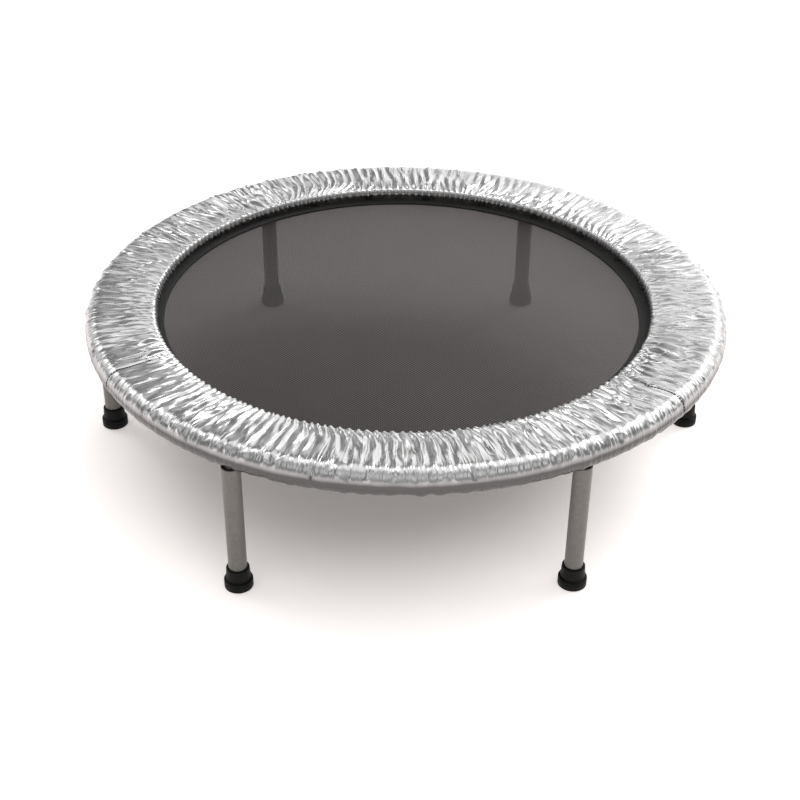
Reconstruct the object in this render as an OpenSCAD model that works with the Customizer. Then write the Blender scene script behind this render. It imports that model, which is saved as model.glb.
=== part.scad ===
// Mini trampoline: a sprung mesh mat in a round tube frame on six screw-on legs, with a padded cover.
// The origin is on the floor, under the middle of the mat, and +Z points up.

/* [Frame ring] */
// Diameter of the ring on the tube's centre line
ring_d = 889; // [885:1:895]
// Outside diameter of the ring tube
ring_tube_d = 25; // [24:0.5:25]
// Wall thickness of the ring tube
ring_wall = 1.5; // [1.2:0.1:2]
// Height of the ring's centre line above the floor
ring_z = 212.5; // [180:0.5:300]

/* [Legs] */
// Outside diameter of a leg tube
leg_d = 25; // [22:0.5:26]
// Wall thickness of a leg tube
leg_wall = 1.5; // [1.2:0.1:2]
// Diameter of the threaded stud
stud_d = 11.9; // [10:0.1:12]
// Length of stud that stands out of the leg
stud_out = 21; // [16:1:24]
// Thickness of the washer between a leg and its socket
washer_h = 1.5; // [1:0.1:2]

/* [Rubber feet] */
// Diameter of the wide base of a foot
foot_d = 38.8; // [36:0.2:42]
// Height of the wide base
foot_base_h = 14.5; // [12:0.5:18]
// Height of the whole foot
foot_h = 33; // [28:1:40]
// Thickness of the rubber under the leg tube
foot_floor = 5; // [3:0.5:8]

/* [Springs] */
// Number of springs, which fall evenly on both sides of each leg
spring_count = 24; // [12:6:36]
// Outside diameter of a spring's coil
coil_d = 11; // [9:0.5:12]
// Diameter of the spring wire
wire_d = 2.2; // [1.8:0.1:2.4]

/* [Mat] */
// Diameter of the clear mesh inside the webbing border
mesh_d = 698; // [690:1:704]
// Width of the webbing border
border_w = 34; // [32:0.5:35]
// Thickness of the mesh
mesh_t = 1; // [0.8:0.1:1.4]
// Thickness of one layer of webbing
webbing_t = 1.4; // [1:0.1:1.6]

/* [Padded cover] */
// Diameter of the cover at its outer side
cover_out_d = 921; // [921:1:925]
// Diameter of the opening inside the gathered hem
cover_in_d = 720; // [716:1:722]
// Thickness of the cover material
skin_t = 0.8; // [0.6:0.1:1]

/* [Hidden] */
$fn = 96;
leg_count = 6;

ring_r = ring_d / 2;
tube_r = ring_tube_d / 2;

// Legs, counted anticlockwise from +X
socket_d = 16;
socket_clear = 0.15; // around the stud, on the radius
socket_bottom = ring_z - 16;
socket_top = ring_z + 2;
leg_top = socket_bottom - washer_h;
leg_inner_d = leg_d - 2 * leg_wall;
plug_h = 22;
stud_in = 20;

// Rubber foot
foot_bevel = 1.4;
foot_groove = 0.8;
foot_shoulder = 2.2;
foot_neck_top_d = 31;
foot_neck_d = 33;

// Springs, with their axes level and in line with the mat
mat_z = ring_z - 2.5;
spring_first = 180 / spring_count;
spring_hole_d = 6.5;
hook_r = 4.2; // of the hook that holds the wire ring
hook_drop = 4.5; // of the hook behind the wall of the ring tube
hook_depth = 2; // wire diameters from that wall to the middle of the hook
bar_clear = 1.3; // from the wire ring's bar to the middle of the hook

// Mat: mesh, folded webbing border, webbing loops and wire rings
border_in = mesh_d / 2;
border_out = border_in + border_w;
mesh_r = border_out - 5.5;
border_half_t = mesh_t / 2 + webbing_t;
ring_wire_d = 3;
loop_bar_r = border_out + 3;
hook_bar_r = loop_bar_r + 8.5;
loop_bar_half = 9;
hook_bar_half = 4.5;
bar_joint_extra = 0.3; // of the diameter, where two bars of a wire ring meet
loop_w = 10;
loop_eye_d = 6.6;

// Cover: a nose at the hem, a flat top and a round shoulder over the ring
shoulder_r = 20;
shoulder_x = cover_out_d / 2 - shoulder_r;
shoulder_z = ring_z + 2;
shoulder_end = -50; // angle at which the cover ends under the shoulder
nose_r = 5;
nose_x = cover_in_d / 2 + nose_r;
nose_z = ring_z + 14;
arc_step = 5;

// Foam inside the cover
foam_nose_x = nose_x + 5;
foam_nose_r = nose_r - skin_t;
foam_clear = 0.1; // to the ring tube
foam_bottom = ring_z + 7.2;
foam_bottom_in = foam_nose_x + 6;
foam_tube_end = 145; // angle round the ring tube where the foam leaves it

// Elastic cords
inner_elastic_d = 3.2;
outer_elastic_d = 2.2;
outer_elastic_gap = 13.7; // from the ring tube's centre line
outer_elastic_angle = -44;

// Points of an arc in the radius and height plane, every arc_step degrees
function arc(x, z, r, from, to) =
    let (steps = round(abs(to - from) / arc_step))
    [for (i = [0:steps]) let (a = from + (to - from) * i / steps) [x + r * cos(a), z + r * sin(a)]];

function reversed(points) = [for (i = [len(points) - 1:-1:0]) points[i]];

// Line of the cover, moved inwards by the depth given
function cover_line(depth) = concat(
    arc(nose_x, nose_z, nose_r - depth, 270, 90),
    arc(shoulder_x, shoulder_z, shoulder_r - depth, 90, shoulder_end)
);

// Outline of the foam: over the top, down outside the tube, back round the tube and under the flat part
function foam_line() = concat(
    arc(foam_nose_x, nose_z, foam_nose_r, 270, 90),
    arc(shoulder_x, shoulder_z, shoulder_r - skin_t, 90, 0),
    arc(ring_r, ring_z, tube_r + foam_clear, 10, foam_tube_end),
    [[foam_bottom_in, foam_bottom]]
);

module at_leg(i) {
    rotate([0, 0, 360 / leg_count * (i - 1)])
        translate([ring_r, 0, 0])
            children();
}

module at_springs() {
    for (k = [0:spring_count - 1])
        rotate([0, 0, spring_first + 360 / spring_count * k])
            children();
}

// A cylinder from the radius given, along +X
module radial_rod(from, to, z, d) {
    translate([from, 0, z])
        rotate([0, 90, 0])
            cylinder(d = d, h = to - from);
}

// A round bar between two points of a level plane, with a round joint at its first point
module bar(p, q, z, d) {
    v = q - p;
    translate([p.x, p.y, z]) {
        rotate([0, 90, atan2(v.y, v.x)])
            cylinder(d = d, h = norm(v));
        sphere(d = d + bar_joint_extra);
    }
}

module cord_ring(r, z, d) {
    rotate_extrude()
        translate([r, z])
            circle(d = d);
}

module frame_ring() {
    color("gray")
    difference() {
        rotate_extrude()
            translate([ring_r, ring_z])
                difference() {
                    circle(r = tube_r);
                    circle(r = tube_r - ring_wall);
                }
        at_springs()
            radial_rod(ring_r - ring_tube_d, ring_r, mat_z, spring_hole_d);
        for (i = [1:leg_count])
            at_leg(i)
                translate([0, 0, ring_z - ring_tube_d])
                    cylinder(d = socket_d, h = ring_tube_d);
    }
}

module foam_pad() {
    color("whitesmoke")
    rotate_extrude()
        polygon(foam_line());
}

module cover_skin() {
    color("silver")
    rotate_extrude()
        polygon(concat(cover_line(0), reversed(cover_line(skin_t))));
}

module inner_elastic() {
    color("white")
    cord_ring(nose_x - 2, nose_z - 0.5, inner_elastic_d);
}

module outer_elastic() {
    color("white")
    cord_ring(
        ring_r + outer_elastic_gap * cos(outer_elastic_angle),
        ring_z + outer_elastic_gap * sin(outer_elastic_angle),
        outer_elastic_d
    );
}

// One spring along +X: coil, hook through the hole in the ring tube, and hook round the wire ring
module spring() {
    hook_x = hook_bar_r + bar_clear;
    coil_from = hook_x + hook_r;
    coil_to = ring_r - tube_r - 5;
    inside_x = ring_r - tube_r + ring_wall + hook_depth * wire_d;
    difference() {
        radial_rod(coil_from, coil_to, mat_z, coil_d);
        radial_rod(coil_from + wire_d, coil_to - wire_d, mat_z, coil_d - 2 * wire_d);
    }
    radial_rod(coil_to - wire_d, inside_x, mat_z, wire_d);
    translate([inside_x, 0, mat_z - hook_drop])
        cylinder(d = wire_d, h = hook_drop);
    translate([inside_x, 0, mat_z])
        sphere(d = wire_d);
    translate([hook_x, 0, mat_z])
        rotate([90, 0, 0])
            rotate_extrude()
                translate([hook_r, 0])
                    circle(d = wire_d);
}

module springs() {
    color("lightgray")
    at_springs() spring();
}

module mat_fabric() {
    color([0.1, 0.1, 0.1])
    translate([0, 0, mat_z - mesh_t / 2])
        cylinder(r = mesh_r, h = mesh_t);
}

module mat_border() {
    color([0.05, 0.05, 0.05])
    rotate_extrude()
        translate([0, mat_z])
            difference() {
                translate([border_in, -border_half_t])
                    square([border_w, 2 * border_half_t]);
                translate([0, -mesh_t / 2])
                    square([mesh_r, mesh_t]);
            }
}

module mat_loops() {
    color([0.08, 0.08, 0.08])
    at_springs()
        difference() {
            union() {
                translate([border_in, -loop_w / 2, mat_z - border_half_t])
                    cube([loop_bar_r - border_in, loop_w, 2 * border_half_t]);
                translate([loop_bar_r, loop_w / 2, mat_z])
                    rotate([90, 0, 0])
                        cylinder(d = loop_eye_d, h = loop_w);
            }
            translate([loop_bar_r, loop_w, mat_z])
                rotate([90, 0, 0])
                    cylinder(d = ring_wire_d + 0.2, h = 2 * loop_w);
            cylinder(r = border_out, h = 2 * ring_z, $fn = 360);
        }
}

module v_rings() {
    corners = [
        [loop_bar_r, -loop_bar_half], [hook_bar_r, -hook_bar_half],
        [hook_bar_r, hook_bar_half], [loop_bar_r, loop_bar_half]
    ];
    color("silver")
    at_springs()
        for (k = [0:3])
            bar(corners[k], corners[(k + 1) % 4], mat_z, ring_wire_d);
}

module leg_socket(i) {
    color("dimgray")
    at_leg(i)
        translate([0, 0, socket_bottom])
            difference() {
                cylinder(d = socket_d, h = socket_top - socket_bottom);
                translate([0, 0, -1])
                    cylinder(d = stud_d + 2 * socket_clear, h = socket_top - socket_bottom + 2);
            }
}

module leg_washer(i) {
    color([0.2, 0.2, 0.2])
    at_leg(i)
        translate([0, 0, leg_top])
            difference() {
                cylinder(d = leg_d, h = washer_h);
                translate([0, 0, -1])
                    cylinder(d = stud_d + 2 * socket_clear, h = washer_h + 2);
            }
}

module leg_tube(i) {
    color([0.62, 0.6, 0.58])
    at_leg(i)
        translate([0, 0, foot_floor])
            difference() {
                cylinder(d = leg_d, h = leg_top - foot_floor);
                translate([0, 0, -1])
                    cylinder(d = leg_inner_d, h = leg_top - foot_floor + 2);
            }
}

module leg_plug(i) {
    color("dimgray")
    at_leg(i)
        translate([0, 0, leg_top - plug_h])
            difference() {
                cylinder(d = leg_inner_d, h = plug_h);
                translate([0, 0, plug_h - stud_in])
                    cylinder(d = stud_d, h = stud_in + 1);
            }
}

module leg_stud(i) {
    color("gainsboro")
    at_leg(i)
        translate([0, 0, leg_top - stud_in])
            cylinder(d = stud_d, h = stud_in + stud_out);
}

// A cup for the leg's end, with a wide bevelled base, a groove round it and a tapered neck
module foot(i) {
    base_r = foot_d / 2;
    groove_z = foot_base_h * 0.68;
    color([0.06, 0.06, 0.06])
    at_leg(i)
        rotate_extrude()
            polygon([
                [0, 0], [base_r - foot_bevel, 0], [base_r, foot_bevel],
                [base_r, groove_z - foot_groove], [base_r - foot_groove, groove_z],
                [base_r, groove_z + foot_groove], [base_r, foot_base_h - foot_shoulder],
                [base_r - foot_shoulder / 3, foot_base_h - foot_shoulder / 3],
                [foot_neck_d / 2, foot_base_h],
                [foot_neck_top_d / 2, foot_h - foot_bevel], [foot_neck_top_d / 2 - foot_bevel, foot_h],
                [leg_d / 2, foot_h], [leg_d / 2, foot_floor], [0, foot_floor]
            ]);
}

frame_ring();
foam_pad();
cover_skin();
inner_elastic();
outer_elastic();
springs();
mat_fabric();
mat_border();
mat_loops();
v_rings();
for (i = [1:leg_count]) {
    leg_socket(i);
    leg_washer(i);
    leg_tube(i);
    leg_plug(i);
    leg_stud(i);
    foot(i);
}
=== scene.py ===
import math

import bmesh
import bpy
import numpy as np
from mathutils import Matrix, Vector


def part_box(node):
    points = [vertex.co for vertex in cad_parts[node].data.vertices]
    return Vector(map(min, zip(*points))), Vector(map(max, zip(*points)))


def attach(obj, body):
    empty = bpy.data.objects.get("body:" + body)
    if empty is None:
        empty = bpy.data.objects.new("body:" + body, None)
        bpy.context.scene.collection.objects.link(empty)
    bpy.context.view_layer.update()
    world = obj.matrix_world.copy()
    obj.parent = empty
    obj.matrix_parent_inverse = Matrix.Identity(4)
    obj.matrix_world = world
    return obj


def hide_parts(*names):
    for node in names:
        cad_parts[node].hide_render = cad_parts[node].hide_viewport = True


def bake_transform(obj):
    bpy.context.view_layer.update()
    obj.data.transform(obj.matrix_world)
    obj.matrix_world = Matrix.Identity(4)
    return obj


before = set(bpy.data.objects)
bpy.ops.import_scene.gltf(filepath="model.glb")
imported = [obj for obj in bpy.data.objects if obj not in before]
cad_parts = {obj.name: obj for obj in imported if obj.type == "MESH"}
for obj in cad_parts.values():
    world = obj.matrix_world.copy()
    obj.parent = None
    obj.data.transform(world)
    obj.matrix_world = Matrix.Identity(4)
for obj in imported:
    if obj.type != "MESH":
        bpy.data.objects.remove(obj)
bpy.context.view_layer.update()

MM = 0.001
TURN = 2 * math.pi

# Places read from the frame
ring_low, ring_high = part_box("frame_ring")
border_low, border_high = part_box("mat_border")
mesh_low, mesh_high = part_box("mat_fabric")
TUBE_R = (ring_high.z - ring_low.z) / 2
RING_R = ring_high.x - TUBE_R
RING_Z = (ring_high.z + ring_low.z) / 2
MAT_Z = (mesh_high.z + mesh_low.z) / 2
MESH_R = mesh_high.x
BORDER_OUT = border_high.x
BORDER_IN = BORDER_OUT - 34 * MM
BORDER_HALF = (border_high.z - border_low.z) / 2
LEGS = 6
SPRINGS = 24

# Springs, wire rings and webbing loops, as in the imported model
WIRE_R = 1.1 * MM
COIL_R = 5.5 * MM
RING_WIRE_R = 1.5 * MM
LOOP_BAR = BORDER_OUT + 3 * MM
HOOK_BAR = LOOP_BAR + 8.5 * MM
HOOK_R = 4.2 * MM
HOOK_MIDDLE = HOOK_BAR + 1.3 * MM
COIL_IN = HOOK_MIDDLE + HOOK_R
COIL_OUT = RING_R - TUBE_R - 5 * MM
HOOK_INSIDE = RING_R - TUBE_R + 5.9 * MM

# Padded cover: a nose at the hem and a shoulder over the ring, with a flat top between them
NOSE = np.array([RING_R - 79.5 * MM, RING_Z + 14 * MM])
NOSE_R = 5 * MM
SHOULDER = np.array([RING_R - 4 * MM, RING_Z + 2 * MM])
SHOULDER_R = 20 * MM
COVER_FROM = 200  # degrees round the nose at which the inner hem starts
COVER_TO = -50  # degrees round the shoulder at which the outer hem ends
CLOTH_R = 0.464  # radius at which the gathered strip would lie flat
COVER_ROWS = 66
COVER_COLUMNS = 1440
COVER_SINK = 1.3 * MM  # how far the vinyl can press into the foam
COVER_TENSION = 0.985  # rest length from hem to hem, as a share of the way over the foam
COVER_SHEAR = 0.2
COVER_STIFFNESS = (0.16, 0.3)  # round the ring, and from hem to hem
FOLD_STRAIGHTNESS = 0.2
START_WAVES = (110, 90, 0.9)  # first ripples: waves per turn, their spread, and waves from hem to hem
START_DEPTH = 0.5 * MM
LEAN_WAVES = 8
LEAN = math.radians(0.5)  # how far each wave of the hem's lean turns it
FRILLS = 236
FRILL_ROWS = 6  # rows that the elastic holds in a zigzag
FRILL_LIFT = 1.3  # height of the zigzag, as a share of what its spare length would give
FRILL_SINK = 0.3 * MM
FRILL_FADE = 0.7  # share of the zigzag left at the last held row
# How the folds' depth changes from place to place: spread, least, most, and the waves as above
DEPTH_SPREAD = 0.45
DEPTH_LEAST = 0.4
DEPTH_MOST = 1.5
DEPTH_WAVES = (10, 16, 1.5)
# Sharp ridges, as lengths from the inner hem along the cover:
# how many, where their middles lie, half their length, height, half their width, and lean
RIDGES = [
    (260, 25 * MM, 70 * MM, (14 * MM, 34 * MM), (0.5 * MM, 1.3 * MM), (3.0 * MM, 5.5 * MM), 0.16),
    (200, 90 * MM, 108 * MM, (7 * MM, 14 * MM), (0.9 * MM, 2.4 * MM), (2.6 * MM, 4.6 * MM), 0.25),
]
SEAMS = (math.radians(209.7), math.radians(321.2))  # where the lengths of vinyl are sewn together
SEAM_FROM = 40 * MM
SEAM_TO = 116 * MM
# The groove at a seam: columns from its middle, and depth
SEAM_GROOVE = [(-2, 0.2 * MM), (-1, 0.8 * MM), (0, 1.7 * MM), (1, 0.3 * MM), (2, -0.5 * MM)]
SLACK_OUT = 13 * MM  # the cover hangs loose and stands out on its +X side
SLACK_HEM = 6 * MM
COVER_SEED = 7
DEPTH_SEED = 5
RIDGE_SEED = 11


# ---------------------------------------------------------------- camera

CAMERA_PLACE = (-0.0435, -1.8101, 1.2268)
CAMERA_YAW = 0.0234  # radians, from +Y towards +X
CAMERA_PITCH = math.radians(33.21)  # downwards
CAMERA_ROLL = math.radians(0.55)
CAMERA_LENS = 62.8


def make_camera():
    """A camera that turns right by its yaw from +Y, then down by its pitch, then rolls."""
    data = bpy.data.cameras.new("camera")
    data.lens = CAMERA_LENS
    data.sensor_width = 36
    camera = bpy.data.objects.new("camera", data)
    bpy.context.scene.collection.objects.link(camera)
    level = math.cos(CAMERA_PITCH)
    forward = Vector((
        level * math.sin(CAMERA_YAW), level * math.cos(CAMERA_YAW), -math.sin(CAMERA_PITCH)
    ))
    flat_right = Vector((math.cos(CAMERA_YAW), -math.sin(CAMERA_YAW), 0))
    flat_up = flat_right.cross(forward)
    right = flat_right * math.cos(CAMERA_ROLL) + flat_up * math.sin(CAMERA_ROLL)
    up = right.cross(forward)
    turn = Matrix((right, up, -forward)).transposed()
    camera.matrix_world = Matrix.Translation(CAMERA_PLACE) @ turn.to_4x4()
    bpy.context.scene.camera = camera


# ---------------------------------------------------------------- mesh helpers

def grid_faces(rows, columns, close_rows=False):
    """Quads of a grid whose columns close into a ring; they face row direction x column direction."""
    row = np.arange(rows if close_rows else rows - 1)[:, None]
    column = np.arange(columns)[None]
    after = (column + 1) % columns
    above = (row + 1) % rows * columns
    here = row * columns
    return np.stack([here + column, above + column, above + after, here + after], 2).reshape(-1, 4)


def revolve(outline, columns):
    """Grid of points made by turning (radius, height) points round Z."""
    theta = np.arange(columns) * TURN / columns
    radius = outline[:, 0][:, None]
    height = outline[:, 1][:, None] + 0 * theta
    return np.stack([radius * np.cos(theta), radius * np.sin(theta), height], 2)


def arc(centre, radius, start, end, count):
    """Points of an arc in the radius and height plane, by angles in degrees."""
    angle = np.radians(np.linspace(start, end, count))
    return np.stack([centre[0] + radius * np.cos(angle), centre[1] + radius * np.sin(angle)], 1)


def sweep(path, radius, sides, closed=False):
    """Points and faces of a round wire along a path."""
    path = np.asarray(path, float)
    if closed:
        tangent = np.roll(path, -1, 0) - np.roll(path, 1, 0)
    else:
        tangent = np.gradient(path, axis=0)
    tangent /= np.linalg.norm(tangent, axis=1)[:, None]
    side = np.empty_like(path)
    last = np.cross(tangent[0], (0.31, 0.52, 0.79))
    for i, along in enumerate(tangent):
        last = last - along * np.dot(last, along)
        last /= np.linalg.norm(last)
        side[i] = last
    other = np.cross(tangent, side)
    angle = np.arange(sides) * TURN / sides
    rim = np.cos(angle)[None, :, None] * side[:, None] + np.sin(angle)[None, :, None] * other[:, None]
    points = path[:, None] + radius * rim
    faces = grid_faces(len(path), sides, closed).tolist()
    if not closed:
        first_ring = list(range(sides))
        faces.append(first_ring[::-1])
        faces.append([len(points.reshape(-1, 3)) - sides + k for k in first_ring])
    return points.reshape(-1, 3), faces


def spin_copies(points, faces, count, first):
    """Copies of a part, evenly round Z from the angle first."""
    all_points = []
    all_faces = []
    for k in range(count):
        angle = first + TURN * k / count
        c, s = math.cos(angle), math.sin(angle)
        turn = np.array([[c, s, 0], [-s, c, 0], [0, 0, 1]])
        offset = k * len(points)
        all_points.append(points @ turn)
        all_faces.extend([[v + offset for v in face] for face in faces])
    return np.concatenate(all_points), all_faces


def new_piece(name, points, faces, material, solid=True):
    """A smooth-shaded mesh piece with one material. The faces of a solid are turned outwards."""
    mesh = bpy.data.meshes.new(name)
    mesh.from_pydata(np.asarray(points).reshape(-1, 3).tolist(), [], [list(f) for f in faces])
    if solid:
        shape = bmesh.new()
        shape.from_mesh(mesh)
        bmesh.ops.recalc_face_normals(shape, faces=shape.faces)
        shape.to_mesh(mesh)
        shape.free()
    mesh.shade_smooth()
    mesh.materials.append(material)
    piece = bpy.data.objects.new(name, mesh)
    bpy.context.scene.collection.objects.link(piece)
    return piece


# ---------------------------------------------------------------- materials

def shader(name):
    """An empty node material with its Principled shader."""
    material = bpy.data.materials.new(name)
    material.use_nodes = True
    return material, material.node_tree, material.node_tree.nodes["Principled BSDF"]


def noise(tree, size):
    """Noise in object space with features of about the size given; returns its 0 to 1 output."""
    place = tree.nodes.new("ShaderNodeTexCoord")
    texture = tree.nodes.new("ShaderNodeTexNoise")
    texture.inputs["Scale"].default_value = 1 / size
    texture.inputs["Detail"].default_value = 3.0
    tree.links.new(place.outputs["Object"], texture.inputs["Vector"])
    return texture.outputs["Fac"]


def ramp(tree, value, low, high, start=0.3, end=0.7):
    """Colour that runs from low to high as the value runs from start to end."""
    node = tree.nodes.new("ShaderNodeValToRGB")
    node.color_ramp.elements[0].position = start
    node.color_ramp.elements[0].color = (*low, 1)
    node.color_ramp.elements[1].position = end
    node.color_ramp.elements[1].color = (*high, 1)
    tree.links.new(value, node.inputs["Fac"])
    return node.outputs["Color"]


def between(tree, value, low, high, start=0.0, end=1.0):
    """The value moved from the range start to end to the range low to high."""
    node = tree.nodes.new("ShaderNodeMapRange")
    node.inputs["From Min"].default_value = start
    node.inputs["From Max"].default_value = end
    node.inputs["To Min"].default_value = low
    node.inputs["To Max"].default_value = high
    tree.links.new(value, node.inputs["Value"])
    return node.outputs["Result"]


def bump(tree, bsdf, height, depth):
    """Bump from a 0 to 1 height that stands for the depth given."""
    node = tree.nodes.new("ShaderNodeBump")
    node.inputs["Strength"].default_value = 1.0
    node.inputs["Distance"].default_value = depth
    tree.links.new(height, node.inputs["Height"])
    tree.links.new(node.outputs["Normal"], bsdf.inputs["Normal"])


def math_node(tree, operation, a, b=None):
    """One Math node; a and b are sockets or numbers."""
    node = tree.nodes.new("ShaderNodeMath")
    node.operation = operation
    for value, socket in ((a, node.inputs[0]), (b, node.inputs[1])):
        if isinstance(value, (int, float)):
            socket.default_value = value
        elif value is not None:
            tree.links.new(value, socket)
    return node.outputs["Value"]


def wave(tree, value, pitch):
    """0 to 1 sine wave along a length."""
    sine = math_node(tree, "SINE", math_node(tree, "MULTIPLY", value, TURN / pitch))
    return math_node(tree, "ADD", math_node(tree, "MULTIPLY", sine, 0.5), 0.5)


def object_axes(tree):
    """The X, Y and Z of object space."""
    place = tree.nodes.new("ShaderNodeTexCoord")
    split = tree.nodes.new("ShaderNodeSeparateXYZ")
    tree.links.new(place.outputs["Object"], split.inputs["Vector"])
    return split.outputs["X"], split.outputs["Y"], split.outputs["Z"]


def plain(name, low, high, grain, roughness, metallic=0.0, depth=0.0, bump_size=None, gloss=0.5):
    """Mottled material: noise runs the colour from low to high and the roughness round its value."""
    material, tree, bsdf = shader(name)
    mottle = noise(tree, grain)
    tree.links.new(ramp(tree, mottle, low, high), bsdf.inputs["Base Color"])
    bsdf.inputs["Specular IOR Level"].default_value = gloss
    spread = 0.15 * roughness
    tree.links.new(
        between(tree, mottle, roughness - spread, roughness + spread), bsdf.inputs["Roughness"]
    )
    bsdf.inputs["Metallic"].default_value = metallic
    if depth:
        bump(tree, bsdf, noise(tree, bump_size or grain), depth)
    return material


def ring_places(tree):
    """Distance from the middle, and distance round a circle of the ring's radius."""
    x, y, _ = object_axes(tree)
    radius = math_node(tree, "SQRT", math_node(
        tree, "ADD", math_node(tree, "MULTIPLY", x, x), math_node(tree, "MULTIPLY", y, y)
    ))
    return radius, math_node(tree, "MULTIPLY", math_node(tree, "ARCTAN2", y, x), RING_R)


CREASE_SIZE = 11 * MM
CREASE_DEPTH = 0.6 * MM
CREASE_STRETCH = 0.16  # size of a crease round the ring, as a share of its length
VINYL_PAINTED_SHADE = (0.10, 0.098, 0.097)
VINYL_BRIGHT = (0.64, 0.64, 0.645)
# Painted shade: the vinyl's colour darkens low on its outer side, by height, with an uneven border
PAINTED_SHADE_FULL_Z = RING_Z + 6 * MM
PAINTED_SHADE_NONE_Z = RING_Z + 17 * MM
PAINTED_SHADE_NONE_R = RING_R - 20 * MM
PAINTED_SHADE_FULL_R = RING_R - 8 * MM
PAINTED_SHADE_BORDER = 4 * MM


def creases(tree, size, sharpness):
    """0 to 1 height of fine creases that run mostly from hem to shoulder: 1 along each crease."""
    radius, around = ring_places(tree)
    place = tree.nodes.new("ShaderNodeCombineXYZ")
    tree.links.new(math_node(tree, "MULTIPLY", radius, CREASE_STRETCH), place.inputs["X"])
    tree.links.new(around, place.inputs["Y"])
    texture = tree.nodes.new("ShaderNodeTexNoise")
    texture.inputs["Scale"].default_value = 1 / size
    texture.inputs["Detail"].default_value = 2.0
    texture.inputs["Distortion"].default_value = 0.35
    tree.links.new(place.outputs["Vector"], texture.inputs["Vector"])
    centred = math_node(tree, "SUBTRACT", texture.outputs["Fac"], 0.5)
    edge = math_node(tree, "SUBTRACT", 1.0, math_node(
        tree, "MULTIPLY", math_node(tree, "ABSOLUTE", centred), 4.0
    ))
    return math_node(tree, "POWER", math_node(tree, "MAXIMUM", edge, 0.0), sharpness)


def silver_vinyl():
    """Metallised vinyl: a soft mirror with fine creases, and painted shade low on its outer side."""
    material, tree, bsdf = shader("silver_vinyl")
    mottle = noise(tree, 25 * MM)
    radius, _ = ring_places(tree)
    _, _, z = object_axes(tree)
    # Painted shade: the colour is darker low on the outer side and none is painted on the inner hem
    height = math_node(tree, "ADD", z, math_node(tree, "MULTIPLY", mottle, PAINTED_SHADE_BORDER))
    top = between(tree, height, 0.0, 1.0, PAINTED_SHADE_FULL_Z, PAINTED_SHADE_NONE_Z)
    inner = between(tree, radius, 1.0, 0.0, PAINTED_SHADE_NONE_R, PAINTED_SHADE_FULL_R)
    shade = math_node(tree, "MAXIMUM", top, inner)
    colour = ramp(tree, shade, VINYL_PAINTED_SHADE, VINYL_BRIGHT, 0, 1)
    tree.links.new(colour, bsdf.inputs["Base Color"])
    tree.links.new(between(tree, mottle, 0.22, 0.34), bsdf.inputs["Roughness"])
    bsdf.inputs["Metallic"].default_value = 0.95
    bump(tree, bsdf, creases(tree, CREASE_SIZE, 3.0), CREASE_DEPTH)
    return material


def mat_mesh():
    """Woven black mesh: a diagonal weave that lets some light through."""
    material, tree, bsdf = shader("mat_mesh")
    x, y, _ = object_axes(tree)
    pitch = 4.8 * MM
    rising = wave(tree, math_node(tree, "ADD", x, y), pitch)
    falling = wave(tree, math_node(tree, "SUBTRACT", x, y), pitch)
    weave = math_node(tree, "MULTIPLY", rising, falling)
    mottle = noise(tree, 70 * MM)
    thread = math_node(tree, "ADD", weave, math_node(tree, "MULTIPLY", mottle, 0.3))
    tree.links.new(
        ramp(tree, thread, (0.001, 0.001, 0.001), (0.048, 0.040, 0.038), 0.18, 1.0),
        bsdf.inputs["Base Color"],
    )
    tree.links.new(between(tree, weave, 0.42, 0.32), bsdf.inputs["Roughness"])
    tree.links.new(between(tree, weave, 0.93, 1.0), bsdf.inputs["Alpha"])
    bsdf.inputs["Specular IOR Level"].default_value = 0.34
    bsdf.inputs["Specular Tint"].default_value = (1, 0.87, 0.84, 1)
    bump(tree, bsdf, weave, 0.5 * MM)
    return material


def webbing():
    """Ribbed polypropylene tape that runs round the mat."""
    material, tree, bsdf = shader("webbing")
    radius, along = ring_places(tree)
    ribs = math_node(tree, "MULTIPLY", wave(tree, along, 1.9 * MM), wave(tree, radius, 2.6 * MM))
    colour = ramp(tree, ribs, (0.006, 0.006, 0.006), (0.03, 0.028, 0.027), 0, 1)
    tree.links.new(colour, bsdf.inputs["Base Color"])
    tree.links.new(between(tree, ribs, 0.8, 0.6), bsdf.inputs["Roughness"])
    bump(tree, bsdf, ribs, 0.5 * MM)
    return material


# Materials that are only mottled: name, darkest and lightest colour, size of the mottle, roughness,
# and what else plain() takes
PLAIN = [
    ("foam", (0.72, 0.70, 0.66), (0.84, 0.83, 0.80), 3 * MM, 0.9, {"depth": 0.6 * MM}),
    ("elastic", (0.55, 0.55, 0.54), (0.8, 0.8, 0.78), 1.5 * MM, 0.8, {"depth": 0.4 * MM}),
    ("frame_paint", (0.24, 0.235, 0.225), (0.30, 0.29, 0.28), 4 * MM, 0.38,
     {"metallic": 0.35, "depth": 0.05 * MM, "bump_size": 1 * MM}),
    ("leg_paint", (0.135, 0.129, 0.119), (0.165, 0.157, 0.144), 5 * MM, 0.36,
     {"metallic": 0.3, "depth": 0.05 * MM, "bump_size": 1 * MM}),
    ("spring_steel", (0.42, 0.42, 0.42), (0.62, 0.62, 0.61), 6 * MM, 0.28, {"metallic": 1.0}),
    ("plated_wire", (0.62, 0.61, 0.58), (0.8, 0.79, 0.76), 5 * MM, 0.2, {"metallic": 1.0}),
    ("raw_steel", (0.35, 0.35, 0.35), (0.55, 0.54, 0.53), 3 * MM, 0.35, {"metallic": 1.0}),
    ("washer_plastic", (0.012, 0.012, 0.012), (0.022, 0.022, 0.022), 2 * MM, 0.5, {"depth": 0.05 * MM}),
    ("foot_rubber", (0.004, 0.0038, 0.0036), (0.009, 0.0085, 0.008), 6 * MM, 0.5,
     {"depth": 0.12 * MM, "bump_size": 1.2 * MM, "gloss": 0.12}),
    ("thread", (0.01, 0.01, 0.01), (0.05, 0.05, 0.05), 1 * MM, 0.8, {}),
]

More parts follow.
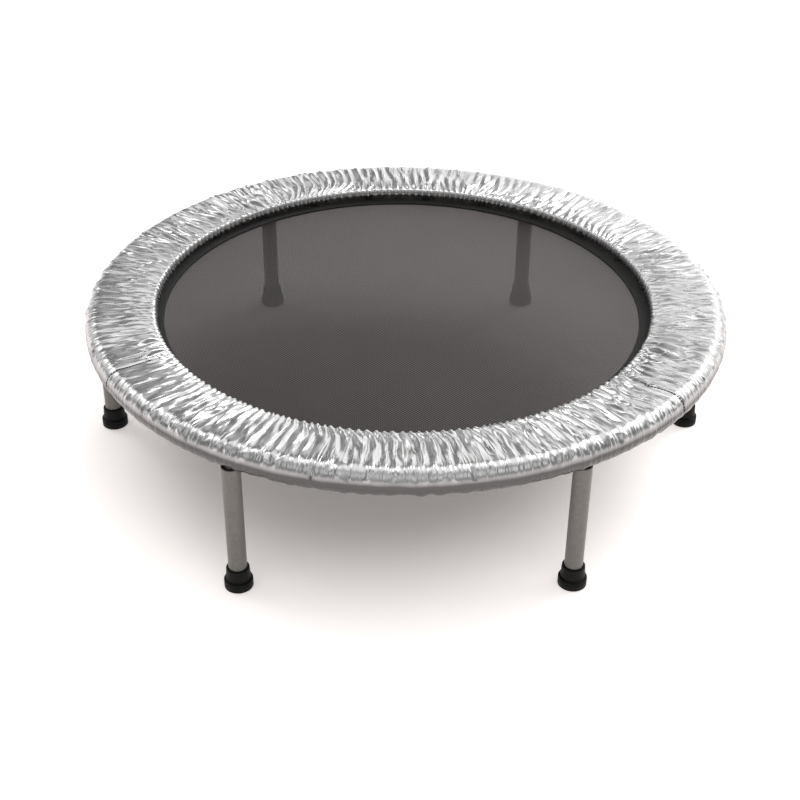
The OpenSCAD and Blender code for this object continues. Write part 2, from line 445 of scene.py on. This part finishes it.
MATERIALS = {"silver_vinyl": silver_vinyl(), "mat_mesh": mat_mesh(), "webbing": webbing()}
for name, low, high, grain, roughness, more in PLAIN:
    MATERIALS[name] = plain(name, low, high, grain, roughness, **more)

NODE_FINISH = {
    "frame_ring": "frame_paint",
    "outer_elastic": "elastic",
    "leg_socket": "raw_steel",
    "leg_washer": "washer_plastic",
    "leg_tube": "leg_paint",
    "leg_plug": "raw_steel",
    "foot": "foot_rubber",
}


def finish_cad_nodes():
    """Procedural materials on the CAD nodes that stay."""
    for name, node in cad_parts.items():
        kind = name.rstrip("0123456789").rstrip("_")
        if kind in NODE_FINISH:
            node.data.materials.clear()
            node.data.materials.append(MATERIALS[NODE_FINISH[kind]])


# ---------------------------------------------------------------- padded cover

def cover_profile(rows):
    """Even points on the cover's line, their outward normals, and the distance between them."""
    path = np.concatenate([
        arc(NOSE, NOSE_R, COVER_FROM, 90, 40), arc(SHOULDER, SHOULDER_R, 90, COVER_TO, 90)
    ])
    length = np.concatenate([[0], np.cumsum(np.linalg.norm(np.diff(path, axis=0), axis=1))])
    even = np.linspace(0, length[-1], rows)
    line = np.stack([np.interp(even, length, path[:, k]) for k in (0, 1)], 1)
    tangent = np.gradient(line, axis=0)
    tangent /= np.linalg.norm(tangent, axis=1)[:, None]
    return line, np.stack([-tangent[:, 1], tangent[:, 0]], 1), length[-1] / (rows - 1)


def pull(a, b, rest, share_a, share_b, strength):
    """Moves the points a and b until they are their rest length apart, in place."""
    gap = b - a
    length = np.sqrt(np.einsum("ijk,ijk->ij", gap, gap)) + 1e-12
    gap *= (strength * (1 - rest / length))[..., None]
    a += gap * share_a
    b -= gap * share_b


def pull_around(x, rest, free):
    """Threads round the ring keep their length."""
    half = 0.5 * free
    pull(x[:, 0::2], x[:, 1::2], rest, half, half, 1.0)
    shifted = np.roll(x[:, 0::2], -1, axis=1)
    pull(x[:, 1::2], shifted, rest, half, half, 1.0)
    x[:, 0::2] = np.roll(shifted, 1, axis=1)


def pull_across(x, rest, free):
    """Threads from hem to hem keep their length."""
    for first in (0, 1):
        end = first + (len(x) - first) // 2 * 2
        free_a = free[first:end:2]
        free_b = free[first + 1:end:2]
        both = free_a + free_b + 1e-9
        pull(x[first:end:2], x[first + 1:end:2], rest, free_a / both, free_b / both, 1.0)


def pull_diagonals(x, rest, strength, free):
    """The weave resists shear."""
    for side in (1, -1):
        a = x[:-1].copy()
        b = np.roll(x[1:], -side, axis=1)
        old_a = a.copy()
        old_b = b.copy()
        pull(a, b, rest, 0.5, 0.5, strength)
        x[:-1] += (a - old_a) * free[:-1]
        x[1:] += np.roll(b - old_b, side, axis=1) * free[1:]


def stiffen(x, around, across, free):
    """Bending stiffness in both directions. A share of 0.5 or more would be unstable."""
    curl = 0.5 * (np.roll(x, 1, 1) + np.roll(x, -1, 1)) - x
    x += (around * free) * (curl - 0.5 * (np.roll(curl, 1, 1) + np.roll(curl, -1, 1)))
    curl = np.zeros_like(x)
    curl[1:-1] = 0.5 * (x[2:] + x[:-2]) - x[1:-1]
    change = np.zeros_like(x)
    change[2:-2] = curl[2:-2] - 0.5 * (curl[3:-1] + curl[1:-3])
    x += across * free * change


def straighten(x, smooth, strength, free):
    """Folds run from hem to shoulder, since the vinyl bends more easily round the ring."""
    offset = x - smooth
    change = np.zeros_like(x)
    change[1:-1] = 0.5 * (offset[2:] + offset[:-2]) - offset[1:-1]
    x += strength * free * change


def rest_on_foam(x, depth):
    """Points that sink further than depth into the foam are pushed out."""
    radius = np.sqrt(x[..., 0] ** 2 + x[..., 1] ** 2)
    axis = SHOULDER - NOSE
    reach = np.hypot(*axis)
    along = axis / reach
    up = np.array([-along[1], along[0]])
    taper = (SHOULDER_R - NOSE_R) / reach
    from_nose_r = radius - NOSE[0]
    from_nose_z = x[..., 2] - NOSE[1]
    run = from_nose_r * along[0] + from_nose_z * along[1]
    rise = np.abs(from_nose_r * up[0] + from_nose_z * up[1])
    share = np.clip((run + rise * taper / math.sqrt(1 - taper * taper)) / reach, 0, 1)
    out_r = radius - (NOSE[0] + axis[0] * share)
    out_z = x[..., 2] - (NOSE[1] + axis[1] * share)
    distance = np.sqrt(out_r * out_r + out_z * out_z) + 1e-9
    limit = NOSE_R + (SHOULDER_R - NOSE_R) * share
    push = np.maximum(limit - depth - distance, 0) * 0.5
    scale = out_r / distance * push / radius
    x[..., 0] += scale * x[..., 0]
    x[..., 1] += scale * x[..., 1]
    x[..., 2] += out_z / distance * push


def smooth_noise(rng, rows, columns, middle, width, row_waves):
    """Noise round the ring with about middle waves per turn, of unit spread."""
    base = rng.normal(size=(rows, columns))
    f = np.abs(np.fft.fftfreq(columns, 1 / columns))[None]
    g = np.abs(np.fft.fftfreq(rows, 1 / rows))[:, None]
    window = np.exp(-((g / row_waves) ** 2)) * np.exp(-(((f - middle) / width) ** 2))
    spectrum = np.fft.fft2(base) * window
    field = np.real(np.fft.ifft2(spectrum))
    return field / field.std()


def frill_phase(rng, theta):
    """Phase of the hem's zigzag, with waves of uneven length."""
    edges = np.concatenate([[0], np.cumsum(rng.uniform(0.6, 1.4, FRILLS))])
    return np.interp(theta, edges / edges[-1] * TURN, np.arange(FRILLS + 1) * TURN)


def gather_cover(steps=200, gather=150):
    """A straight strip of vinyl drawn in by its two elastic hems over the foam, as a grid of points."""
    rng = np.random.default_rng(COVER_SEED)
    rows, columns = COVER_ROWS, COVER_COLUMNS
    theta = np.arange(columns) * TURN / columns
    line, normal, row_gap = cover_profile(rows)
    column_gap = TURN * CLOTH_R / columns
    diagonal = math.hypot(row_gap, column_gap)
    free = np.ones((rows, 1, 1), np.float32)
    free[:FRILL_ROWS] = 0
    free[-1] = 0
    frill_keep = np.linspace(1.0, FRILL_FADE, FRILL_ROWS)[:, None]

    def radii(share):
        return np.maximum(line[:, 0], CLOTH_R) * (1 - share) + line[:, 0] * share

    start = smooth_noise(rng, rows, columns, *START_WAVES) * START_DEPTH
    radius = radii(0)[:, None] + start * normal[:, 0][:, None]
    height = line[:, 1][:, None] + start * normal[:, 1][:, None]
    x = np.stack([radius * np.cos(theta), radius * np.sin(theta), height], 2).astype(np.float32)
    lean = np.zeros(columns)
    for k in range(1, LEAN_WAVES + 1):
        lean += LEAN * rng.normal() * np.sin(k * theta + rng.uniform(0, TURN))
    frill = np.sin(frill_phase(rng, theta)) * rng.uniform(0.7, 1.15, columns)
    for step in range(steps):
        before = min(1.0, step / gather)
        after = min(1.0, (step + 1) / gather)
        x[..., :2] *= (radii(after) / radii(before))[:, None, None]
        hem = radii(after)[:FRILL_ROWS]
        zigzag = TURN * hem / FRILLS * np.sqrt(np.maximum(CLOTH_R / hem - 1, 0)) / math.pi
        lift = FRILL_LIFT * zigzag[:, None] * frill_keep * frill - FRILL_SINK
        hem_r = hem[:, None] + lift * normal[:FRILL_ROWS, :1]
        angle = theta + lean * after
        hem_z = line[:FRILL_ROWS, 1:] + lift * normal[:FRILL_ROWS, 1:]
        x[:FRILL_ROWS] = np.stack([hem_r * np.cos(angle), hem_r * np.sin(angle), hem_z], 2)
        smooth = revolve(np.stack([radii(after), line[:, 1]], 1), columns).astype(np.float32)
        for _ in range(2):
            pull_around(x, column_gap, free)
            pull_across(x, row_gap * COVER_TENSION, free)
            pull_diagonals(x, diagonal, COVER_SHEAR, free)
            stiffen(x, *COVER_STIFFNESS, free)
            straighten(x, smooth, FOLD_STRAIGHTNESS, free)
            rest_on_foam(x, COVER_SINK)
    return x


def vary_folds(x):
    """Makes the folds deeper in some places and calmer in others."""
    rng = np.random.default_rng(DEPTH_SEED)
    rows, columns = x.shape[:2]
    radius = np.hypot(x[..., 0], x[..., 1])
    depth = 1.0 + DEPTH_SPREAD * smooth_noise(rng, rows, columns, *DEPTH_WAVES)
    depth = np.clip(depth, DEPTH_LEAST, DEPTH_MOST)
    start = np.clip((np.arange(rows) - FRILL_ROWS) / FRILL_ROWS, 0, 1)[:, None]
    depth = 1 + (depth - 1) * start
    mean_r = radius.mean(1)[:, None]
    mean_z = x[..., 2].mean(1)[:, None]
    x[..., :2] *= ((mean_r + (radius - mean_r) * depth) / radius)[..., None]
    x[..., 2] = mean_z + (x[..., 2] - mean_z) * depth


def sharpen_folds(x):
    """Raises thin pointed ridges: long ones over the top, and short darts round the shoulder."""
    rng = np.random.default_rng(RIDGE_SEED)
    _, normal, row_gap = cover_profile(len(x))
    place = np.arange(len(x)) * row_gap
    radius = np.hypot(x[..., 0], x[..., 1]).mean(1)
    columns = x.shape[1]
    lift = np.zeros(x.shape[:2])
    for count, first, last, reach, height, width, lean in RIDGES:
        for _ in range(count):
            middle = rng.uniform(first, last)
            half = rng.uniform(*reach)
            tall = rng.uniform(*height) * rng.choice((1, 1, -1))
            half_width = rng.uniform(*width)
            start = rng.uniform(0, columns)
            drift = rng.normal() * lean
            taper = 1 - ((place - middle) / half) ** 2
            for row in np.nonzero(taper > 0.02)[0]:
                gap = TURN * radius[row] / columns
                centre = start + drift * (place[row] - middle) / gap
                wide = half_width * math.sqrt(taper[row]) / gap
                near = np.arange(math.ceil(centre - wide), math.floor(centre + wide) + 1)
                lift[row, near % columns] += tall * taper[row] * (1 - np.abs(near - centre) / wide)
    for angle in SEAMS:
        column = round(angle / TURN * columns)
        taper = np.clip(1 - np.abs(place - (SEAM_FROM + SEAM_TO) / 2) / (SEAM_TO - SEAM_FROM), 0, 1)
        for step, depth in SEAM_GROOVE:
            lift[:, column + step] = -depth * taper
    theta = np.arctan2(x[..., 1], x[..., 0])
    x[..., 0] += lift * normal[:, :1] * np.cos(theta)
    x[..., 1] += lift * normal[:, :1] * np.sin(theta)
    x[..., 2] += lift * normal[:, 1:]


def hem_rows(edge, centre, radii, angles, fading):
    """Rows that carry an edge on round a small roll; its waves fade by a share at the last row."""
    mean_r = np.hypot(edge[:, 0], edge[:, 1])
    theta = np.arctan2(edge[:, 1], edge[:, 0])
    wave_r = mean_r - mean_r.mean()
    wave_z = edge[:, 2] - edge[:, 2].mean()
    made = []
    for k, (radius, angle) in enumerate(zip(radii, angles)):
        keep = 1 - (k + 1) / len(angles) * fading
        r = centre[0] + radius * math.cos(math.radians(angle)) + wave_r * keep
        z = centre[1] + radius * math.sin(math.radians(angle)) + wave_z * keep
        made.append(np.stack([r * np.cos(theta), r * np.sin(theta), z], 1))
    return np.stack(made)


def loosen(x):
    """Moves the cover's +X side outwards, most at the shoulder and least at the hem."""
    radius = np.hypot(x[..., 0], x[..., 1])
    side = np.clip(x[..., 0] / radius, 0, 1) ** 2
    over = np.clip((radius - NOSE[0]) / (SHOULDER[0] - NOSE[0]), 0, 1)
    shift = side * (SLACK_HEM + (SLACK_OUT - SLACK_HEM) * over)
    x[..., :2] *= (1 + shift / radius)[..., None]


def make_seams(x):
    """Stitches across the top of the cover where two lengths of vinyl meet."""
    line, normal, row_gap = cover_profile(len(x))
    place = np.arange(len(x)) * row_gap
    stitch = 3.4 * MM
    pitch = 4.6 * MM
    thread = 0.55 * MM
    proud = 0.7 * MM
    parts = []
    faces = []
    for angle in SEAMS:
        column = round(angle / TURN * x.shape[1])
        outward = np.stack([
            normal[:, 0] * math.cos(angle), normal[:, 0] * math.sin(angle), normal[:, 1]
        ], 1)
        edge = x[:, column] + proud * outward
        for start in np.arange(SEAM_FROM, SEAM_TO, pitch):
            along = start + np.linspace(0, stitch, 6)
            path = np.stack([np.interp(along, place, edge[:, k]) for k in range(3)], 1)
            points, quads = sweep(path, thread, 6)
            offset = len(parts) * len(points)
            parts.append(points)
            faces.extend([[v + offset for v in face] for face in quads])
    seams = new_piece("cover_seams", np.concatenate(parts), faces, MATERIALS["thread"])
    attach(seams, "frame")
    return seams


def make_cover():
    """The gathered vinyl, with its hems carried on out of sight under the nose and under the ring."""
    x = gather_cover()
    vary_folds(x)
    sharpen_folds(x)
    loosen(x)
    seams = make_seams(x)
    hem_radii = (NOSE_R + 0.7 * MM, NOSE_R + 1.8 * MM, NOSE_R + 2.3 * MM, NOSE_R + 2.3 * MM)
    under_nose = hem_rows(x[0], NOSE, hem_radii, (222, 245, 268, 290), -0.35)
    roll = 2.6 * MM
    end = math.radians(COVER_TO)
    roll_centre = SHOULDER + (SHOULDER_R - roll) * np.array([math.cos(end), math.sin(end)])
    under_ring = hem_rows(x[-1], roll_centre, (roll,) * 4, (-80, -115, -150, -185), 0.7)
    x = np.concatenate([under_nose[::-1], x, under_ring])
    cover = new_piece(
        "padded_cover", x, grid_faces(len(x), COVER_COLUMNS), MATERIALS["silver_vinyl"],
        solid=False,
    )
    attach(cover, "frame")
    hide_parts("cover_skin")
    _, _, row_gap = cover_profile(COVER_ROWS)


def make_hem_elastic():
    """The elastic inside the inner hem, which the loose cover carries with it."""
    low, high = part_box("inner_elastic")
    thick = (high.z - low.z) / 2
    centre = (high.x - thick, (high.z + low.z) / 2)
    outline = arc(centre, thick, 0, 330, 12)
    points = revolve(outline, 360)
    loosen(points)
    elastic = new_piece(
        "hem_elastic", points, grid_faces(len(outline), 360, True), MATERIALS["elastic"]
    )
    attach(elastic, "frame")
    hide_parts("inner_elastic")


def make_foam():
    """The foam strip, a little slack inside the cover."""
    slack = 2.2 * MM
    clear = 0.6 * MM
    outline = np.concatenate([
        arc((NOSE[0] + 5 * MM, NOSE[1]), NOSE_R - slack, 270, 90, 9),
        arc(SHOULDER, SHOULDER_R - slack, 90, 0, 14),
        arc((RING_R, RING_Z), TUBE_R + clear, 10, 145, 16),
        np.array([[NOSE[0] + 11 * MM, RING_Z + 7.2 * MM]]),
    ])
    points = revolve(outline, 360)
    faces = grid_faces(len(outline), 360, True)
    foam = new_piece("foam_ring", points, faces, MATERIALS["foam"])
    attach(foam, "frame")
    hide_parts("foam_pad")


# ---------------------------------------------------------------- mat and springs


def sink_with_mat(piece):
    """Bakes the piece's place into its mesh."""
    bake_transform(piece)


def make_mat():
    """The flat mesh disc."""
    rings, columns = 60, 180
    radii = MESH_R * np.linspace(1 / rings, 1, rings)
    points = revolve(np.stack([radii, np.full(rings, MAT_Z)], 1), columns).reshape(-1, 3)
    points = np.concatenate([points, [[0, 0, MAT_Z]]])
    faces = grid_faces(rings, columns).tolist()
    faces += [[len(points) - 1, k, (k + 1) % columns] for k in range(columns)]
    mat = new_piece("jumping_mat", points, faces, MATERIALS["mat_mesh"], solid=False)
    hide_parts("mat_fabric")
    sink_with_mat(mat)
    return mat


def make_border():
    """Folded webbing round the mesh, with soft edges."""
    edge = 0.9 * MM
    columns = 720
    corners = [
        ((BORDER_IN + edge, MAT_Z - BORDER_HALF + edge), 270, 180),
        ((BORDER_IN + edge, MAT_Z + BORDER_HALF - edge), 180, 90),
        ((BORDER_OUT - edge, MAT_Z + BORDER_HALF - edge), 90, 0),
        ((BORDER_OUT - edge, MAT_Z - BORDER_HALF + edge), 0, -90),
    ]
    outline = np.concatenate([arc(centre, edge, start, end, 4) for centre, start, end in corners])
    points = revolve(outline, columns)
    border = new_piece(
        "mat_webbing", points, grid_faces(len(outline), columns, True), MATERIALS["webbing"]
    )
    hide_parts("mat_border")
    sink_with_mat(border)
    return border


def make_stitches():
    """Rows of sewing thread through the webbing."""
    length = 3.2 * MM
    pitch = 4.4 * MM
    thread = 0.35 * MM
    parts = []
    faces = []
    for row_r in (BORDER_IN + 3 * MM, BORDER_IN + 7 * MM, BORDER_OUT - 4 * MM):
        count = round(TURN * row_r / pitch)
        for k in range(count):
            middle = TURN * k / count
            angle = middle + np.linspace(-0.5, 0.5, 5) * length / row_r
            dip = np.array([-0.5, 0.1, 0.25, 0.1, -0.5]) * MM
            height = MAT_Z + BORDER_HALF + dip
            path = np.stack([row_r * np.cos(angle), row_r * np.sin(angle), height], 1)
            points, quads = sweep(path, thread, 5)
            offset = len(parts) * len(points)
            parts.append(points)
            faces.extend([[v + offset for v in face] for face in quads])
    stitches = new_piece("mat_stitching", np.concatenate(parts), faces, MATERIALS["thread"])
    sink_with_mat(stitches)
    return stitches


def make_loops():
    """Short webbing tapes folded round the rings and sewn to the border."""
    tape = 1.1 * MM
    inner = RING_WIRE_R + 0.15 * MM
    width = 10 * MM
    tail = BORDER_OUT - 17 * MM
    flat = BORDER_HALF + 0.05 * MM
    bend = np.linspace(0, 1, 5)[1:-1]
    ease = 3 * bend ** 2 - 2 * bend ** 3
    run = BORDER_OUT + (LOOP_BAR - BORDER_OUT) * bend

    def side(sign, offset):
        ends = np.array([[tail, sign * (flat + offset)], [BORDER_OUT, sign * (flat + offset)]])
        slope = np.stack([run, sign * (flat + offset + (inner - flat) * ease)], 1)
        return np.concatenate([ends, slope])

    outer = np.concatenate([
        side(1, tape), arc((LOOP_BAR, 0), inner + tape, 90, -90, 11), side(-1, tape)[::-1]
    ])
    inside = np.concatenate([
        side(1, 0), arc((LOOP_BAR, 0), inner, 90, -90, 11), side(-1, 0)[::-1]
    ])
    outline = np.concatenate([outer, inside[::-1]])
    outline[:, 1] += MAT_Z
    across = np.linspace(-width / 2, width / 2, 6)
    count = len(outline)
    points = np.array([[r, y, z] for y in across for r, z in outline])
    faces = grid_faces(len(across), count).tolist()
    pairs = len(outer) - 1
    for last in (0, (len(across) - 1) * count):
        for k in range(pairs):
            quad = [last + k, last + k + 1, last + count - 2 - k, last + count - 1 - k]
            faces.append(quad if last else quad[::-1])
    points, faces = spin_copies(points, faces, SPRINGS, TURN / SPRINGS / 2)
    loops = new_piece("webbing_loops", points, faces, MATERIALS["webbing"])
    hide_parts("mat_loops")
    sink_with_mat(loops)
    return loops


def make_rings():
    """Closed wire rings with rounded corners, one for each spring."""
    corners = np.array([
        [LOOP_BAR, -9 * MM], [HOOK_BAR, -4.5 * MM], [HOOK_BAR, 4.5 * MM], [LOOP_BAR, 9 * MM]
    ])
    cut = 1.8 * MM
    path = []
    for k, corner in enumerate(corners):
        before = corners[k - 1] - corner
        after = corners[(k + 1) % 4] - corner
        start = corner + before / np.linalg.norm(before) * cut
        end = corner + after / np.linalg.norm(after) * cut
        for t in np.linspace(0, 1, 5):
            path.append((1 - t) ** 2 * start + 2 * t * (1 - t) * corner + t * t * end)
    path = np.array([[p[0], p[1], MAT_Z] for p in path])
    points, faces = sweep(path, RING_WIRE_R, 10, closed=True)
    points, faces = spin_copies(points, faces, SPRINGS, TURN / SPRINGS / 2)
    rings = new_piece("wire_rings", points, faces, MATERIALS["plated_wire"])
    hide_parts("v_rings")
    sink_with_mat(rings)
    return rings


def make_springs():
    """Extension springs: a hook round the wire ring, a close coil, and a hook in the tube's hole."""
    centre = COIL_R - WIRE_R
    turns = int((COIL_OUT - COIL_IN - 2 * WIRE_R) / (2.15 * WIRE_R))
    hook_angle = np.radians(np.linspace(200, -90, 26))
    hook = np.stack([
        HOOK_MIDDLE + HOOK_R * np.cos(hook_angle),
        np.zeros(26),
        HOOK_R * np.sin(hook_angle),
    ], 1)
    t = np.linspace(0, 1, turns * 16 + 1)
    spin = -math.pi / 2 + TURN * turns * t
    coil = np.stack([
        COIL_IN + WIRE_R + (COIL_OUT - COIL_IN - 2 * WIRE_R) * t,
        centre * np.cos(spin),
        centre * np.sin(spin),
    ], 1)
    bend_r = 2.5 * MM
    drop_angle = np.radians(np.linspace(90, 0, 7))
    tail = np.concatenate([
        np.array([[COIL_OUT + 1.5 * MM, 0, -1.2 * MM], [COIL_OUT + 4 * MM, 0, 0]]),
        np.stack([
            HOOK_INSIDE - bend_r + bend_r * np.cos(drop_angle),
            np.zeros(7),
            -bend_r + bend_r * np.sin(drop_angle),
        ], 1),
        np.array([[HOOK_INSIDE, 0, -4.5 * MM]]),
    ])
    path = np.concatenate([hook, coil, tail])
    path[:, 2] += MAT_Z
    points, faces = sweep(path, WIRE_R, 8)
    points, faces = spin_copies(points, faces, SPRINGS, TURN / SPRINGS / 2)
    springs = new_piece("coil_springs", points, faces, MATERIALS["spring_steel"])
    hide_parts("springs")
    sink_with_mat(springs)


def make_threads():
    """A helical thread on each leg's stud."""
    pitch = 1.75 * MM
    depth = 0.9 * MM
    columns = 32
    for n in range(1, LEGS + 1):
        low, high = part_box(f"leg_stud_{n}")
        middle = (low + high) / 2
        radius = (high.x - low.x) / 2
        rows = int((high.z - low.z) / pitch * 8)
        z = np.linspace(low.z, high.z, rows)[:, None]
        theta = (np.arange(columns) * TURN / columns)[None]
        crest = 0.5 + 0.5 * np.cos(theta - TURN * z / pitch)
        r = radius - depth * (1 - crest)
        x = middle.x + r * np.cos(theta)
        y = middle.y + r * np.sin(theta)
        points = np.stack([x, y, z + 0 * theta], 2)
        faces = grid_faces(rows, columns).tolist()
        faces.append(list(range(columns))[::-1])
        faces.append([(rows - 1) * columns + k for k in range(columns)])
        thread = new_piece(f"stud_thread_{n}", points, faces, MATERIALS["raw_steel"])
        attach(thread, f"leg_{n}")
        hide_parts(f"leg_stud_{n}")


# ---------------------------------------------------------------- studio

# Painted light: the floor glows a little, least in a round patch under the object, which is a painted
# shadow
FLOOR_HALF = 12
PAINTED_SHADOW_GLOW = 0.11
PAINTED_FAR_GLOW = 0.64
PAINTED_SHADOW_X = -0.05
PAINTED_SHADOW_FROM = 0.24
PAINTED_SHADOW_TO = 0.52
# The sky is white at the horizon and dim above; these are its strengths and the heights between them
SKY_LOW = 1.0
SKY_HIGH = 0.14
SKY_FROM = 0.03
SKY_TO = 0.22


def make_floor():
    """A pale floor with painted light: it glows white far from the object and dims to a painted shadow
    under it.
    """
    far = FLOOR_HALF
    corners = [(-far, -far, 0), (far, -far, 0), (far, far, 0), (-far, far, 0)]
    mesh = bpy.data.meshes.new("floor")
    mesh.from_pydata(corners, [], [(0, 1, 2, 3)])
    material, tree, bsdf = shader("floor")
    mottle = noise(tree, 0.4)
    colour = ramp(tree, mottle, (0.93, 0.875, 0.86), (0.95, 0.895, 0.88))
    tree.links.new(colour, bsdf.inputs["Base Color"])
    bsdf.inputs["Roughness"].default_value = 0.6
    bsdf.inputs["Specular IOR Level"].default_value = 0.2
    bsdf.inputs["Emission Color"].default_value = (1, 0.96, 0.95, 1)
    # Painted light and shadow: the emission grows with distance from a point near the object
    x, y, _ = object_axes(tree)
    x = math_node(tree, "SUBTRACT", x, PAINTED_SHADOW_X)
    away = math_node(tree, "SQRT", math_node(
        tree, "ADD", math_node(tree, "MULTIPLY", x, x), math_node(tree, "MULTIPLY", y, y)
    ))
    painted_glow = between(tree, away, PAINTED_SHADOW_GLOW, PAINTED_FAR_GLOW, PAINTED_SHADOW_FROM, PAINTED_SHADOW_TO)
    painted_glow.node.interpolation_type = "SMOOTHSTEP"
    tree.links.new(painted_glow, bsdf.inputs["Emission Strength"])
    mesh.materials.append(material)
    floor = bpy.data.objects.new("floor", mesh)
    bpy.context.scene.collection.objects.link(floor)


def lobe(tree, direction, azimuth, elevation, inner, outer, strength):
    """A soft patch of light: full strength within inner degrees of its middle, none past outer."""
    a, e = math.radians(azimuth), math.radians(elevation)
    dot = tree.nodes.new("ShaderNodeVectorMath")
    dot.operation = "DOT_PRODUCT"
    dot.inputs[1].default_value = (math.sin(a) * math.cos(e), math.cos(a) * math.cos(e), math.sin(e))
    tree.links.new(direction, dot.inputs[0])
    node = tree.nodes.new("ShaderNodeMapRange")
    node.interpolation_type = "SMOOTHSTEP"
    node.inputs["From Min"].default_value = math.cos(math.radians(outer))
    node.inputs["From Max"].default_value = math.cos(math.radians(inner))
    node.inputs["To Max"].default_value = strength
    tree.links.new(dot.outputs["Value"], node.inputs["Value"])
    return node.outputs["Result"]


# Soft light round the object: azimuth from +Y towards +X, elevation, inner and outer size, strength
LIGHTS = [
    (16, 16, 10, 30, 1.25),
    (20, 84, 12, 36, 1.1),
    (62, 34, 12, 28, 1.8),
    (-58, 36, 10, 24, 1.2),
    (48, 50, 5, 13, 7.0),
    (-48, 50, 5, 12, 3.5),
    (180, 32, 10, 30, 0.35),
    (150, 40, 8, 24, 0.7),
    (-140, 45, 8, 24, 0.6),
]


def make_world():
    """White at the horizon, dim above, with patches of soft light for the metal to reflect."""
    world = bpy.data.worlds.new("studio")
    bpy.context.scene.world = world
    world.use_nodes = True
    tree = world.node_tree
    place = tree.nodes.new("ShaderNodeTexCoord")
    split = tree.nodes.new("ShaderNodeSeparateXYZ")
    tree.links.new(place.outputs["Generated"], split.inputs["Vector"])
    total = between(tree, split.outputs["Z"], SKY_LOW, SKY_HIGH, SKY_FROM, SKY_TO)
    for light in LIGHTS:
        total = math_node(tree, "ADD", total, lobe(tree, place.outputs["Generated"], *light))
    background = tree.nodes["Background"]
    background.inputs["Color"].default_value = (1.0, 0.995, 0.985, 1)
    tree.links.new(total, background.inputs["Strength"])


def make_studio():
    """Floor, light, and colours shown as they are."""
    make_floor()
    make_world()
    bpy.context.scene.view_settings.view_transform = "Standard"


make_camera()
finish_cad_nodes()
make_foam()
make_cover()
make_hem_elastic()
border = make_border()
stitches = make_stitches()
loops = make_loops()
rings = make_rings()
mat = make_mat()
make_springs()
make_threads()
make_studio()
